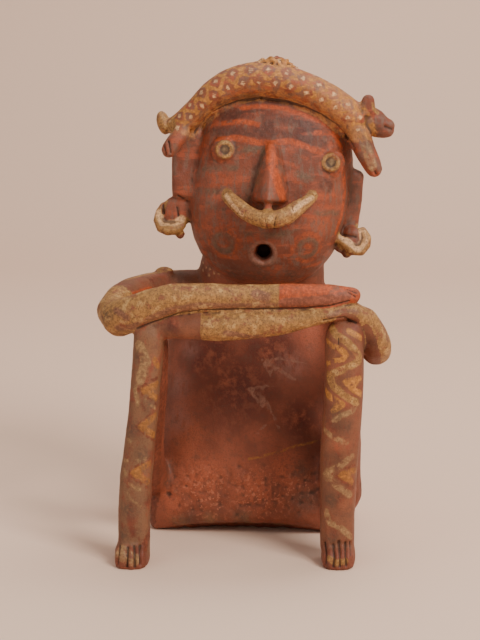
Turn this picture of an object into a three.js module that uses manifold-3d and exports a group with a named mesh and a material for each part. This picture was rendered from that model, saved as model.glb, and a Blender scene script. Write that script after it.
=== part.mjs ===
// A seated tomb figure of fired clay, with its arms folded on its knees and a small animal lying over its
// head. Millimetres, +Z up, the front faces -Y, and the floor is z = 0. Left and right are the viewer's,
// seen from the front. The whole figure was modelled and fired as one piece, so it is one solid.

import * as THREE from 'three';
import { mergeVertices } from 'three/addons/utils/BufferGeometryUtils.js';
import Module from 'manifold-3d';

const wasm = await Module();
wasm.setup();

// Driving dimensions
const HEIGHT = 440; // floor to the broken crest, and the measure of the pose
const TORSO_WIDTH = 192;
const TORSO_DEPTH = 116;
const BASE_ARCH_HEIGHT = 13; // how far the front of the base is lifted off the floor
const HEAD_WIDTH = 146;
const HEAD_DEPTH = 112;
const HEAD_HEIGHT = 188;
const HEAD_TILT = 6; // degrees that the face leans back
const HEAD_ROLL = 6; // degrees that the crown leans to the right
const LEG_THICKNESS = 33;
const THIGH_THICKNESS = 36;
const FOOT_WIDTH = 31;
const FOOT_LENGTH = 46;
const FOOT_HEIGHT = 32;
const ARM_THICKNESS = 26;
const EYE_DIAMETER = 18;
const EYE_RELIEF = 4;
const NOSE_WIDTH = 35;
const NOSE_RELIEF = 26;
const NOSTRIL_DIAMETER = 4.8;
const MOUTH_WIDTH = 17.5;
const MOUTH_DEPTH = 32;
const NOSE_RING_THICKNESS = 15.5;
const EAR_WIDTH = 26;
const EAR_THICKNESS = 15;
const LOBE_WIDTH = 24;
const LOBE_HEIGHT = 30;
const EARRING_THICKNESS = 9;
const PELLET_DIAMETER = 9.5;
const ANIMAL_THICKNESS = 30;
const ANIMAL_DEPTH = 52;
const ANIMAL_LEG_THICKNESS = 16;
const ANIMAL_MOUTH_GAP = 2.4;
const TAIL_DIAMETER = 22;
const CREST_THICKNESS = 17;
const DIGIT_GROOVE_WIDTH = 2;
const DIGIT_GROOVE_DEPTH = 4;

const X = new THREE.Vector3(1, 0, 0);
const Y = new THREE.Vector3(0, 1, 0);
const Z = new THREE.Vector3(0, 0, 1);

// The pose is given in hundredths of the height.
function at(x, y, z) {
  return new THREE.Vector3(x, y, z).multiplyScalar(HEIGHT / 100);
}

function signedPower(value, power) {
  return Math.sign(value) * Math.abs(value) ** power;
}

// A closed mesh as a solid that can be joined and cut.
function solid(geometry) {
  geometry.deleteAttribute('normal');
  geometry.deleteAttribute('uv');
  const merged = mergeVertices(geometry, 1e-4);
  const mesh = new wasm.Mesh({
    numProp: 3,
    vertProperties: new Float32Array(merged.attributes.position.array),
    triVerts: new Uint32Array(merged.index.array),
  });
  return new wasm.Manifold(mesh);
}

// A sphere's rings and columns, pulled to the surface that place(ring, angle) gives.
function skin(rings, columns, place) {
  const geometry = new THREE.SphereGeometry(1, columns, rings);
  const position = geometry.attributes.position;
  for (let ring = 0; ring <= rings; ring += 1) {
    for (let column = 0; column <= columns; column += 1) {
      const point = place(ring, (2 * Math.PI * (column % columns)) / columns);
      position.setXYZ(ring * (columns + 1) + column, point.x, point.y, point.z);
    }
  }
  return solid(geometry);
}

const CAP_RINGS = 3;

// Where a ring stands along a coil, and how far it has swelled from the rounded end.
function ringSpot(ring, rings, length, caps) {
  const fromEnd = rings - ring;
  if (ring < CAP_RINGS || fromEnd < CAP_RINGS) {
    const end = ring < CAP_RINGS ? 0 : 1;
    const turn = (Math.min(ring, fromEnd) / CAP_RINGS) * (Math.PI / 2);
    const inset = caps[end] * (1 - Math.cos(turn));
    return { distance: end ? length - inset : inset, swell: Math.sin(turn) };
  }
  const share = (ring - CAP_RINGS) / (rings - 2 * CAP_RINGS);
  return { distance: caps[0] + share * (length - caps[0] - caps[1]), swell: 1 };
}

// A rolled coil of clay. Its run is a list of [x, y, z, wide, deep, squareness]: a point of the pose, the
// shares of the size's two numbers there, and how square the section is. Wide lies along the direction
// across at the start of the run. Each end is rounded by its share of the thickness.
function coil(run, size, { across = X, columns = 10, rings = 12, ends = [1, 1] } = {}) {
  const curve = (points) => new THREE.CatmullRomCurve3(points, false, 'centripetal');
  const path = curve(run.map(([x, y, z]) => at(x, y, z)));
  const section = curve(
    run.map(([, , , wide = 1, deep = wide, squareness = 2], index) =>
      // The small step keeps equal neighbours apart, which this kind of curve needs.
      new THREE.Vector3((wide * size[0]) / 2, (deep * size[1]) / 2, squareness + index * 1e-3),
    ),
  );
  const length = path.getLength();
  const caps = ends.map((share, end) => {
    const { x, y } = section.getPoint(end);
    return Math.min(share * Math.min(x, y), length / 3);
  });
  let wideways = across;
  const hoops = Array.from({ length: rings + 1 }, (_, ring) => {
    const { distance, swell } = ringSpot(ring, rings, length, caps);
    const t = path.getUtoTmapping(distance / length);
    const along = path.getTangent(t);
    wideways = wideways.clone().addScaledVector(along, -wideways.dot(along)).normalize();
    const { x, y, z } = section.getPoint(t);
    return {
      centre: path.getPoint(t),
      wide: wideways.clone().multiplyScalar(x * swell),
      deep: wideways.clone().cross(along).multiplyScalar(y * swell),
      power: 2 / z,
    };
  });
  return skin(rings, columns, (ring, angle) => {
    const { centre, wide, deep, power } = hoops[ring];
    return centre
      .clone()
      .addScaledVector(wide, signedPower(Math.cos(angle), power))
      .addScaledVector(deep, signedPower(Math.sin(angle), power));
  });
}

// A place in the figure, turned by degrees about its own three axes.
function turned(centre, turns = [0, 0, 0]) {
  const [x, y, z] = turns.map(THREE.MathUtils.degToRad);
  return new THREE.Matrix4().makeRotationFromEuler(new THREE.Euler(x, y, z, 'YXZ')).setPosition(centre);
}

// An egg of the given full sizes, made squarer or softer, and set at a place.
function lump(place, [width, depth, height], { columns = 12, rings = 8, squareness = 2 } = {}) {
  const power = 2 / squareness;
  return skin(rings, columns, (ring, angle) => {
    const rise = (Math.PI * ring) / rings;
    const out = signedPower(Math.sin(rise), power);
    return new THREE.Vector3(
      (width / 2) * out * signedPower(Math.cos(angle), power),
      (-depth / 2) * out * signedPower(Math.sin(angle), power),
      (-height / 2) * signedPower(Math.cos(rise), power),
    ).applyMatrix4(place);
  });
}

function pellet(centre, width = PELLET_DIAMETER) {
  return lump(turned(centre), [width, PELLET_DIAMETER, PELLET_DIAMETER], { columns: 7, rings: 6 });
}

function joined(solids) {
  return solids.reduce((whole, next) => whole.add(next));
}

// The trunk widens to the hips and closes in above the shoulders to a thick neck inside the head.
function trunk() {
  return coil(
    [
      [0, 11.2, -1, 0.98, 0.92, 5],
      [0, 11.1, 1.8, 1.02, 0.99, 5],
      [0.2, 11.0, 6, 1.03, 1, 4.4],
      [0.8, 11.4, 16, 0.98, 0.95, 3.4],
      [1.3, 12.0, 28, 0.94, 0.86, 3],
      [1.6, 12.2, 38, 0.91, 0.78, 2.7],
      [1.7, 11.6, 45, 0.87, 0.7, 2.4],
      [1.8, 10.4, 49.6, 0.75, 0.62, 2.2],
      [2.2, 9.2, 53, 0.61, 0.6, 2.1],
      [2.6, 8, 57, 0.58, 0.64, 2],
      [3.1, 6.8, 61, 0.6, 0.7, 2],
      [3.6, 6.4, 66, 0.62, 0.72, 2],
    ],
    [TORSO_WIDTH, TORSO_DEPTH],
    { columns: 24, rings: 18, ends: [0, 0.3] },
  );
}

// The head is an egg with squarish sides, and its own frame stands in the middle of it.
const HEAD_SQUARENESS = 2.5;
const headPlace = turned(at(4.1, 4.5, 74.3), [-HEAD_TILT, HEAD_ROLL, 0]);

// The point on the face at a share of the head's half width and half height, raised or sunk by relief.
function onFace(across, up, relief = 0) {
  const spent = Math.abs(up) ** HEAD_SQUARENESS + Math.abs(across) ** HEAD_SQUARENESS;
  const reach = (1 - spent) ** (1 / HEAD_SQUARENESS);
  return new THREE.Vector3(
    (across * HEAD_WIDTH) / 2,
    (-reach * HEAD_DEPTH) / 2 - relief,
    (up * HEAD_HEIGHT) / 2,
  ).applyMatrix4(headPlace);
}

// A run for coil whose rows start with the three numbers that place(a, b, c) turns into a point.
function runFrom(place, rows) {
  return rows.map(([a, b, c, ...section]) => {
    const point = place(a, b, c).multiplyScalar(100 / HEIGHT);
    return [point.x, point.y, point.z, ...section];
  });
}

// A run for coil that keeps to the face. Its rows are [across, up, relief, wide, deep, squareness].
function runOnFace(rows) {
  return runFrom(onFace, rows);
}

// A place beside the head: out from its side and back from its middle in mm, and up as a share of its
// half height. The side is -1 on the left and 1 on the right.
function besideHead(side, out, back, up) {
  const spot = new THREE.Vector3(side * (HEAD_WIDTH / 2 + out), back, (up * HEAD_HEIGHT) / 2);
  return spot.applyMatrix4(headPlace);
}

function head() {
  const skull = lump(headPlace, [HEAD_WIDTH, HEAD_DEPTH, HEAD_HEIGHT], {
    columns: 28,
    rings: 16,
    squareness: HEAD_SQUARENESS,
  });
  return [skull, nose(), ...eyes()];
}

function nose() {
  return coil(
    runOnFace([
      [0, 0.38, -3, 0.34, 0.2, 2],
      [0, 0.25, 0, 0.44, 0.42, 1.8],
      [0.02, 0.03, 2, 0.72, 0.76, 1.5],
      [0.04, -0.2, 3, 1, 0.96, 1.4],
    ]),
    [NOSE_WIDTH, 2 * NOSE_RELIEF],
    { columns: 12, rings: 12, ends: [0.8, 0.16] },
  );
}

// Each eye is a flattened pellet on a low mound.
const EYES = [
  [-0.565, 0.25],
  [0.718, 0.24],
];

function eyes() {
  return EYES.flatMap(([across, up]) => [
    coil(
      runOnFace([
        [across, up, -4, 1.5],
        [across, up, EYE_RELIEF * 0.6, 1.2],
      ]),
      [EYE_DIAMETER, EYE_DIAMETER],
      { rings: 7, ends: [0, 0.4] },
    ),
    coil(
      runOnFace([
        [across, up, -4, 1],
        [across, up, EYE_RELIEF, 0.94],
      ]),
      [EYE_DIAMETER, EYE_DIAMETER],
      { rings: 7, ends: [0, 0.2] },
    ),
  ]);
}

// The cuts that open the face: a mouth that runs into the head, and two nostrils under the nose. The mouth
// has five sides and stands on one corner.
function faceCuts() {
  const mouthCircle = MOUTH_WIDTH / Math.sin(THREE.MathUtils.degToRad(72));
  const mouth = coil(
    runOnFace([
      [0.025, -0.66, 8, 1.05],
      [0.025, -0.66, -MOUTH_DEPTH / 2, 0.95],
      [0.025, -0.66, -MOUTH_DEPTH, 0.8],
    ]),
    [mouthCircle, mouthCircle],
    { across: Z.clone().negate(), columns: 5, rings: 8, ends: [0, 0.6] },
  );
  const nostrils = [-0.14, 0.14].map((across) =>
    lump(turned(onFace(across, -0.2, 10)), [NOSTRIL_DIAMETER, NOSTRIL_DIAMETER, 2 * NOSTRIL_DIAMETER], {
      columns: 8,
      rings: 6,
    }),
  );
  return [mouth, ...nostrils];
}

// The ring hangs from the clay between the nostrils, and its two ends rest on the cheeks.
function noseRing() {
  const septum = coil(
    runOnFace([
      [0.02, -0.093, 16.1],
      [0.036, -0.307, 19.6],
    ]),
    [NOSE_RING_THICKNESS / 2, NOSE_RING_THICKNESS / 2],
    { columns: 8, rings: 7 },
  );
  const ring = coil(
    runOnFace([
      [-0.498, -0.166, 3.6, 0.76],
      [-0.375, -0.225, 10.6, 0.86],
      [-0.231, -0.301, 15.8, 0.94],
      [0.017, -0.35, 22.7, 1],
      [0.235, -0.303, 22, 1.03],
      [0.415, -0.185, 15.5, 0.88],
      [0.56, -0.094, 3.5, 0.6],
    ]),
    [NOSE_RING_THICKNESS, NOSE_RING_THICKNESS],
    { across: Y, columns: 9, rings: 15 },
  );
  return [septum, ring];
}

// Each ear is a long flap with a lobe below it. A thick ring hugs the lobe, and pellets hang under it.
// The places are those of besideHead.
const EARS = [
  {
    side: -1,
    flap: [[5, -24.8, 0.47, 0.96], [2.6, -22.7, 0.017], [0.1, -19.3, -0.25, 0.96]],
    lobe: { place: [7, -15.5, -0.39], wide: 1.1, high: 0.96 },
    ring: [
      [18.9, -16.9, -0.307, 0.6],
      [23.3, -18.3, -0.436, 0.9],
      [20.6, -19.9, -0.539, 1.2],
      [11.5, -22.3, -0.565, 1.35],
      [2.9, -21.7, -0.536, 1.1],
      [-1.8, -18.8, -0.475, 0.7],
    ],
    pellets: [[1.9, -16.7, -0.595], [-1.8, -14.8, -0.423]],
  },
  {
    side: 1,
    flap: [[-0.7, -6.9, 0.201, 0.84], [0.5, -5.2, -0.056, 0.84], [0, -3.9, -0.4, 0.84]],
    lobe: { place: [6, -11.6, -0.462], wide: 0.74, high: 0.82 },
    ring: [
      [-8.7, -18.2, -0.445, 0.85],
      [1.4, -19.2, -0.525, 1],
      [10.8, -19.5, -0.581, 1.1],
      [17.1, -17.2, -0.547, 1.1],
      [19.5, -14.4, -0.466, 1],
      [18.3, -12.5, -0.389, 0.9],
      [12.1, -11.2, -0.343, 0.7],
    ],
    pellets: [[-3.6, -15.2, -0.556], [2.7, -15.4, -0.6]],
  },
];

function ears() {
  return EARS.flatMap(({ side, flap, lobe, ring, pellets }) => {
    const place = (...spot) => besideHead(side, ...spot);
    return [
      coil(
        runFrom(place, flap).map(([x, y, z, wide = 1]) => [x, y, z, wide, 1, 3]),
        [EAR_WIDTH, EAR_THICKNESS],
        { rings: 8, ends: [0.5, 0.5] },
      ),
      lump(turned(place(...lobe.place)), [lobe.wide * LOBE_WIDTH, EAR_THICKNESS, lobe.high * LOBE_HEIGHT], {
        squareness: 2.4,
      }),
      coil(runFrom(place, ring), [EARRING_THICKNESS, EARRING_THICKNESS], {
        across: Y,
        columns: 7,
        rings: 12,
      }),
      ...pellets.map((spot) => pellet(place(...spot))),
    ];
  });
}

// The animal lies over the head from ear to ear, with its rump on the left and its snout on the right.
function animal() {
  const body = coil(
    [
      [-16.6, -1.4, 86, 0.36, 0.5],
      [-13.6, -1.8, 86.4, 0.62, 0.72],
      [-11, -1.8, 88.7, 0.84, 0.72],
      [-8.4, -1.8, 91.2, 0.94, 0.8],
      [-5.8, -1.8, 93.2, 1, 0.96],
      [-2.6, -1.8, 94.7, 1, 1.04],
      [1.1, -1.8, 95.4, 1, 1.04],
      [5.1, -1.8, 95.3, 1, 1.04],
      [9.5, -1.8, 94.2, 1, 1],
      [13.8, -1.8, 92.4, 0.96, 1],
      [17.4, -1.8, 90.4, 0.9, 0.98],
      [20.4, -1.8, 87.8, 0.8, 0.96],
      [22.6, -1.8, 85, 0.6, 0.74],
    ],
    [ANIMAL_DEPTH, ANIMAL_THICKNESS],
    { across: Y, columns: 12, rings: 18 },
  );
  const tailPlace = turned(at(-17.3, -1.2, 86.6), [0, -14, 0]);
  const tail = lump(tailPlace, [0.55 * TAIL_DIAMETER, TAIL_DIAMETER, TAIL_DIAMETER], {
    columns: 10,
    rings: 8,
  });
  return [body, tail, crest(), ...animalLegs(), ...animalHead()];
}

// A place over the middle of the animal's back, raised by a share of the animal's thickness.
function onBack(x, z, raised) {
  return at(x, -1.6, z).addScaledVector(Z, raised * ANIMAL_THICKNESS);
}

// The stump of the broken crest on the animal's back.
function crest() {
  return coil(
    runFrom(onBack, [
      [2.2, 95.37, 0.297, 0.7],
      [4.4, 95.32, 0.396, 1],
      [6.2, 95.02, 0.439, 1],
      [8.8, 94.38, 0.356, 0.6],
    ]),
    [1.5 * CREST_THICKNESS, CREST_THICKNESS],
    { across: Y, columns: 8, rings: 9, ends: [0.8, 0.8] },
  );
}

function animalLegs() {
  return [-1, 1].flatMap((side) => {
    const depth = (out) => -1.8 + side * out;
    const hind = [
      [-12.2, depth(2.6), 86, 1],
      [-14.8, depth(3.8), 82.9, 1],
      [-16.6, depth(4.1), 80.2, 0.88],
    ];
    const fore = [
      [21, depth(2), 86.6, 1.5],
      [22.4, depth(2.8), 83.4, 1.36],
      [24, depth(3.5), 80, 1.12],
      [26, depth(3.9), 76.4, 0.92],
    ];
    return [hind, fore].map((run) =>
      coil(run, [ANIMAL_LEG_THICKNESS, ANIMAL_LEG_THICKNESS], { across: Y, columns: 7, rings: 8 }),
    );
  });
}

function animalHead() {
  const skull = coil(
    [
      [22.2, -1.8, 88, 0.6, 0.84],
      [24.6, -1.8, 87.1, 0.7, 0.88],
      [26.7, -1.8, 86, 0.6, 0.72],
      [29.3, -1.8, 85.6, 0.38, 0.44],
    ],
    [ANIMAL_THICKNESS, ANIMAL_THICKNESS],
    { across: Y, columns: 10, rings: 11, ends: [0.4, 0.6] },
  );
  const ears = [-1, 1].map((side) =>
    coil(
      [
        [23.5, -1.8 + side * 1.4, 88.5, 1.2, 0.8],
        [23.9, -1.8 + side * 2, 92.6, 0.58, 0.44],
      ],
      [ANIMAL_LEG_THICKNESS, ANIMAL_LEG_THICKNESS],
      { columns: 8, rings: 7, ends: [0.4, 0.8] },
    ),
  );
  return [skull, ...ears];
}

// The shins stand in front, and each thigh runs back and down from the knee to the hip.
const LEGS = [
  {
    shin: [
      [-18.6, -18.4, 49, 0.76],
      [-19.5, -18.5, 38, 0.78],
      [-20, -18.6, 31.2, 0.79],
      [-21.2, -18.6, 21.6, 0.81],
      [-21.9, -18.7, 15, 0.86],
      [-22.2, -19, 3, 0.84],
    ],
    thigh: [
      [-18.4, -16.8, 48, 0.8],
      [-19.3, -12.8, 35, 0.9],
      [-21.2, -5.6, 22, 0.94],
      [-21, 1.6, 8.4, 1.04],
    ],
    foot: [-22.5, -19.6],
    toeGrooves: [-2.5, -0.8, 0.7, 2.1],
  },
  {
    shin: [
      [19.4, -18.2, 50.2, 0.98],
      [19.6, -18.2, 38.8, 1.02],
      [19.1, -18, 29, 1.05],
      [18.7, -17.7, 20.4, 1],
      [18.5, -17.3, 11.4, 0.93],
      [18.6, -17.2, 3, 0.92],
    ],
    thigh: [
      [19.5, -17, 48.6, 0.84],
      [19.5, -12.8, 35, 0.92],
      [19.2, -5.6, 22, 0.96],
      [19.2, -0.4, 11.6, 1.12],
      [19, 1.6, 4.6, 1.1],
    ],
    foot: [18.8, -17.8],
    toeGrooves: [-1.9, 0.1, 1.5, 2.6],
  },
];

const SHIN_SQUARENESS = 2.8;

function legs() {
  return LEGS.flatMap(({ shin, thigh, foot: [x, y] }) => [
    coil(
      shin.map(([x, y, z, wide]) => [x, y, z, wide, wide, SHIN_SQUARENESS]),
      [LEG_THICKNESS, LEG_THICKNESS],
      { columns: 12, rings: 12, ends: [0.9, 0] },
    ),
    coil(thigh, [THIGH_THICKNESS, THIGH_THICKNESS], { rings: 10 }),
    lump(turned(at(x, y, 1.5), [8, 0, 0]), [FOOT_WIDTH, FOOT_LENGTH, FOOT_HEIGHT], {
      rings: 8,
      squareness: 2.7,
    }),
  ]);
}

// The left arm folds on top, with its hand on the right arm. The right arm passes over the right knee and
// lays its hand on the left knee.
function arms() {
  const upper = coil(
    [
      [-9, 9, 52, 1.1],
      [-17.7, 6.4, 52, 1.07],
      [-22.3, 0, 52.3, 1.04],
      [-25.6, -6.6, 51.6, 1.06],
      [-26.8, -11.4, 49.8, 1.14],
      [-25.5, -15, 49, 1.28],
      [-21.4, -17.7, 50.8, 1.22],
      [-15, -19.1, 53.5, 1.08],
      [-8, -19.3, 54.2, 0.95],
      [1.3, -19.3, 54.2, 0.88],
      [9.6, -19.6, 54.7, 0.84],
      [17, -19.9, 54.8, 0.8],
      [22.6, -19.1, 54.9, 0.46],
    ],
    [ARM_THICKNESS, ARM_THICKNESS],
    { across: Z, rings: 24, ends: [1, 0.9] },
  );
  const lower = coil(
    [
      [12, 9, 47.4, 1.1],
      [18.5, 5.5, 47.2, 1.02],
      [23.2, -2.3, 46, 1],
      [26.1, -11, 42.1, 1.06],
      [25.6, -15, 45.2, 1],
      [23.4, -17.6, 50, 0.84, 0.9],
      [20.6, -19.3, 52, 0.5, 0.86],
      [16, -19.8, 51.2, 0.52, 0.86],
      [10, -19.8, 50, 0.74, 0.9],
      [3.5, -19.8, 49.1, 0.95],
      [-5, -19.5, 48.6, 0.99],
      [-12.4, -19.1, 48.4, 0.88],
      [-19, -18, 47.2, 0.6],
    ],
    [ARM_THICKNESS, ARM_THICKNESS],
    { across: new THREE.Vector3(0.3, 0.6, 0.6), rings: 26 },
  );
  return [upper, lower, pellet(at(-18, 5, 55.2), 2 * PELLET_DIAMETER)];
}

// A thin blade, narrow in one direction, that cuts a groove between two toes, two fingers or two lips.
function blade(from, to, narrow, width, depth) {
  return coil([from, to], [width, depth], { across: narrow, columns: 4, rings: 7, ends: [0, 0] });
}

function grooves() {
  const toes = LEGS.flatMap(({ foot: [x, y], toeGrooves }) =>
    toeGrooves.map((offset) =>
      blade(
        [x + offset, y - 5.1, 0.8],
        [x + offset, y - 3.9, 4.6],
        X,
        DIGIT_GROOVE_WIDTH,
        2 * DIGIT_GROOVE_DEPTH,
      ),
    ),
  );
  const fingers = [0, 1, 2].map((finger) =>
    blade(
      [19.8 + 0.5 * finger, -21.8, 56.2 - finger],
      [22.6 + 0.4 * finger, -20.6, 56 - 1.2 * finger],
      Z,
      DIGIT_GROOVE_WIDTH,
      2 * DIGIT_GROOVE_DEPTH,
    ),
  );
  const lips = blade([27.2, -1.8, 86], [30.5, -1.8, 85.4], Z, ANIMAL_MOUTH_GAP, ANIMAL_THICKNESS);
  return [...toes, ...fingers, lips];
}

// The front of the base is lifted off the floor in a shallow arch.
function baseArch() {
  return lump(turned(at(-1, -3.6, 0)), [1.1 * TORSO_WIDTH, 0.6 * TORSO_DEPTH, 2 * BASE_ARCH_HEIGHT], {
    columns: 16,
    rings: 8,
  });
}

// The underside and the soles are flat on the floor.
function belowFloor() {
  const box = new THREE.BoxGeometry(2 * HEIGHT, 2 * HEIGHT, HEIGHT);
  box.translate(0, 0, -HEIGHT / 2);
  return solid(box);
}

const trunkOnArch = trunk().subtract(baseArch());
const clay = joined([trunkOnArch, ...head(), ...noseRing(), ...ears(), ...animal(), ...legs(), ...arms()])
  .subtract(joined([...faceCuts(), ...grooves()]))
  .subtract(belowFloor());

// The origin is on the floor, under the middle of the figure's extent.
function centredGeometry(manifold) {
  const { vertProperties, triVerts } = manifold.getMesh();
  const geometry = new THREE.BufferGeometry();
  geometry.setAttribute('position', new THREE.BufferAttribute(vertProperties, 3));
  geometry.setIndex(new THREE.BufferAttribute(triVerts, 1));
  geometry.computeBoundingBox();
  const { min, max } = geometry.boundingBox;
  geometry.translate(-(min.x + max.x) / 2, -(min.y + max.y) / 2, -min.z);
  geometry.computeVertexNormals();
  return geometry;
}

const firedClay = new THREE.MeshStandardMaterial({ color: 0x96492f, roughness: 0.72, metalness: 0 });
const figure = new THREE.Mesh(centredGeometry(clay), firedClay);
figure.name = 'clay_figure';

const model = new THREE.Group();
model.add(figure);

export default model;
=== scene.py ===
"""Dresses the seated clay figure in its worn slip paint and sets it in a plain studio.

Metres, +Z up, the front faces -Y. Left and right are the viewer's, seen from the front.
"""

import math

import bpy
import numpy as np
from mathutils import Matrix, Vector, noise
from mathutils.bvhtree import BVHTree


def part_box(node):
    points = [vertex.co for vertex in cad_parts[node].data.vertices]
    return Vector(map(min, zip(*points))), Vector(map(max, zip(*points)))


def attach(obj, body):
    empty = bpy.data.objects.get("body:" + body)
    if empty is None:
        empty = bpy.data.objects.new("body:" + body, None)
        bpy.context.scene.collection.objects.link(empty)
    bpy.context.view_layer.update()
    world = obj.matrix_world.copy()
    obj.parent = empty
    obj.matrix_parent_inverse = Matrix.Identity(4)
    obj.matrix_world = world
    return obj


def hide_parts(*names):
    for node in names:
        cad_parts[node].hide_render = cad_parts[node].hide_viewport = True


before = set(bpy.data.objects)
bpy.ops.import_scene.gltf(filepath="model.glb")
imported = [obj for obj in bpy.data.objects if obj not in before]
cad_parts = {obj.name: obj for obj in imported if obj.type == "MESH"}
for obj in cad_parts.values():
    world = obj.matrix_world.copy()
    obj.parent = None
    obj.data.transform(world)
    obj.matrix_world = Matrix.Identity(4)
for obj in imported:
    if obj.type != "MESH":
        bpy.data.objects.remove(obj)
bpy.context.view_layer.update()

MM = 0.001

# The photograph's frame
IMAGE_WIDTH_PX = 480
IMAGE_HEIGHT_PX = 640
FOCAL_LENGTH_PX = 1748
CAMERA_AZIMUTH = math.radians(3)
CAMERA_ELEVATION = math.radians(11)
CAMERA_DISTANCE = 1.6
CAMERA_TARGET = Vector((-0.0072, 0.014, 0.2))

# The studio floor, which sweeps up into a backdrop
FLOOR_WIDTH = 9
FLOOR_DEPTH = 5
FLOOR_MIDDLE = (0, -1, 0)
SWEEP_RADIUS = 0.9
SWEEP_STEPS = 12
BACKDROP_HEIGHT = 3
FIGURE_MIDDLE = (0, 0, 0.22)  # what the lights aim at

# The surface of the clay
VOXEL = 1.3 * MM
SMALL_ROUNDS = 5  # how often everything is relaxed, and small forms no more
LIMB_ROUNDS = 18  # how often more the limbs and coils
BROAD_ROUNDS = 80  # and how often more the broad sides
BLEND_ROUNDS = 12  # how often the borders between them
SHRINK_MENDED = 0.4 * MM  # what relaxing takes off the limbs
UNDULATION = 0.55 * MM  # how far the lumps left by the hand stand out
WIDE_LUMP = 26 * MM
SMALL_LUMP = 7 * MM
CRUMBLE = 3.6 * MM  # the roughness of the broken crest
CRUMB = 4 * MM
TRIANGLES = 190_000


# The camera and the studio


def place_camera():
    away = Vector((
        math.sin(CAMERA_AZIMUTH) * math.cos(CAMERA_ELEVATION),
        -math.cos(CAMERA_AZIMUTH) * math.cos(CAMERA_ELEVATION),
        math.sin(CAMERA_ELEVATION),
    ))
    data = bpy.data.cameras.new("camera")
    data.sensor_fit = "VERTICAL"
    data.lens = data.sensor_height * FOCAL_LENGTH_PX / IMAGE_HEIGHT_PX
    camera = bpy.data.objects.new("camera", data)
    camera.location = CAMERA_TARGET + CAMERA_DISTANCE * away
    camera.rotation_euler = away.to_track_quat("Z", "Y").to_euler()
    bpy.context.collection.objects.link(camera)
    bpy.context.scene.camera = camera


def soft_light(name, place, aim, size, power, colour):
    """A square lamp of the given size in metres and power in watts."""
    data = bpy.data.lights.new(name, "AREA")
    data.size = size
    data.energy = power
    data.color = colour
    light = bpy.data.objects.new(name, data)
    light.location = place
    light.rotation_euler = (Vector(place) - Vector(aim)).to_track_quat("Z", "Y").to_euler()
    bpy.context.collection.objects.link(light)


def light_studio():
    soft_light("window_light", (1.3, -1.5, 1.7), FIGURE_MIDDLE, 0.9, 58, (1.0, 0.94, 0.88))
    soft_light("left_fill", (-1.8, -1.4, 0.9), FIGURE_MIDDLE, 1.8, 9, (0.93, 0.96, 1.0))
    soft_light("sky_light", (0.2, 0.3, 2.3), FIGURE_MIDDLE, 2.0, 16, (1.0, 0.98, 0.96))
    soft_light("backdrop_light", (0.6, 0.7, 2.4), (0.3, 2.4, 0.4), 1.6, 26, (1.0, 0.95, 0.92))
    world = bpy.data.worlds.new("studio_air")
    world.use_nodes = True
    background = world.node_tree.nodes["Background"]
    background.inputs["Color"].default_value = (0.86, 0.8, 0.76, 1)
    background.inputs["Strength"].default_value = 0.41
    bpy.context.scene.world = world


def lay_floor():
    """A floor that sweeps up behind the figure."""
    bpy.ops.object.select_all(action="DESELECT")
    bpy.ops.mesh.primitive_plane_add(size=1)
    floor = bpy.context.object
    floor.name = "studio_floor"
    floor.scale = (FLOOR_WIDTH, FLOOR_DEPTH, 1)
    floor.location = FLOOR_MIDDLE
    bpy.ops.object.transform_apply(location=True, scale=True)
    bpy.ops.object.mode_set(mode="EDIT")
    bpy.ops.mesh.select_all(action="DESELECT")
    bpy.ops.object.mode_set(mode="OBJECT")
    far_side = FLOOR_MIDDLE[1]
    for edge in floor.data.edges:
        ends = [floor.data.vertices[index].co for index in edge.vertices]
        edge.select = all(end.y > far_side for end in ends)
    for vertex in floor.data.vertices:
        vertex.select = vertex.co.y > far_side
    bpy.ops.object.mode_set(mode="EDIT")
    bpy.ops.mesh.select_mode(type="EDGE")
    for step in range(SWEEP_STEPS):
        turn = math.pi / 2 * (step + 0.5) / SWEEP_STEPS
        length = SWEEP_RADIUS * math.pi / 2 / SWEEP_STEPS
        bpy.ops.mesh.extrude_region_move(
            TRANSFORM_OT_translate={"value": (0, length * math.cos(turn), length * math.sin(turn))}
        )
    bpy.ops.mesh.extrude_region_move(TRANSFORM_OT_translate={"value": (0, 0, BACKDROP_HEIGHT)})
    bpy.ops.object.mode_set(mode="OBJECT")
    bpy.ops.object.shade_smooth()
    floor.data.materials.append(floor_paper())


def floor_paper():
    paper = bpy.data.materials.new("studio_paper")
    paper.use_nodes = True
    shader = paper.node_tree.nodes["Principled BSDF"]
    shader.inputs["Base Color"].default_value = (0.83, 0.6, 0.455, 1)
    shader.inputs["Roughness"].default_value = 0.85
    return paper


# The pose of the figure, in hundredths of its height, as the solid was laid out

low_corner, high_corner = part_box("clay_figure")
HEIGHT = high_corner[2] - low_corner[2]
POSE_SHIFT = Vector((1.55, 1.45, 0)) * MM


def pose(x, y, z):
    return Vector((x, y, z)) * HEIGHT / 100 + POSE_SHIFT


HEAD_PLACE = (
    Matrix.Translation(pose(4.1, 4.5, 74.3))
    @ Matrix.Rotation(math.radians(6), 4, "Y")
    @ Matrix.Rotation(math.radians(-6), 4, "X")
)

EYES = [(-41.2 * MM, 23.5 * MM), (52.4 * MM, 22.6 * MM)]  # across and up from the middle of the head
EYE_RIM_RADIUS = 6.6 * MM
EYE_RIM_WIDTH = 1.6 * MM
PUPIL_RADIUS = 4.6 * MM
MOUTH_PLACE = HEAD_PLACE @ (Vector((1.8, -41, -62)) * MM)
LIP_RADIUS = 11.5 * MM

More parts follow.
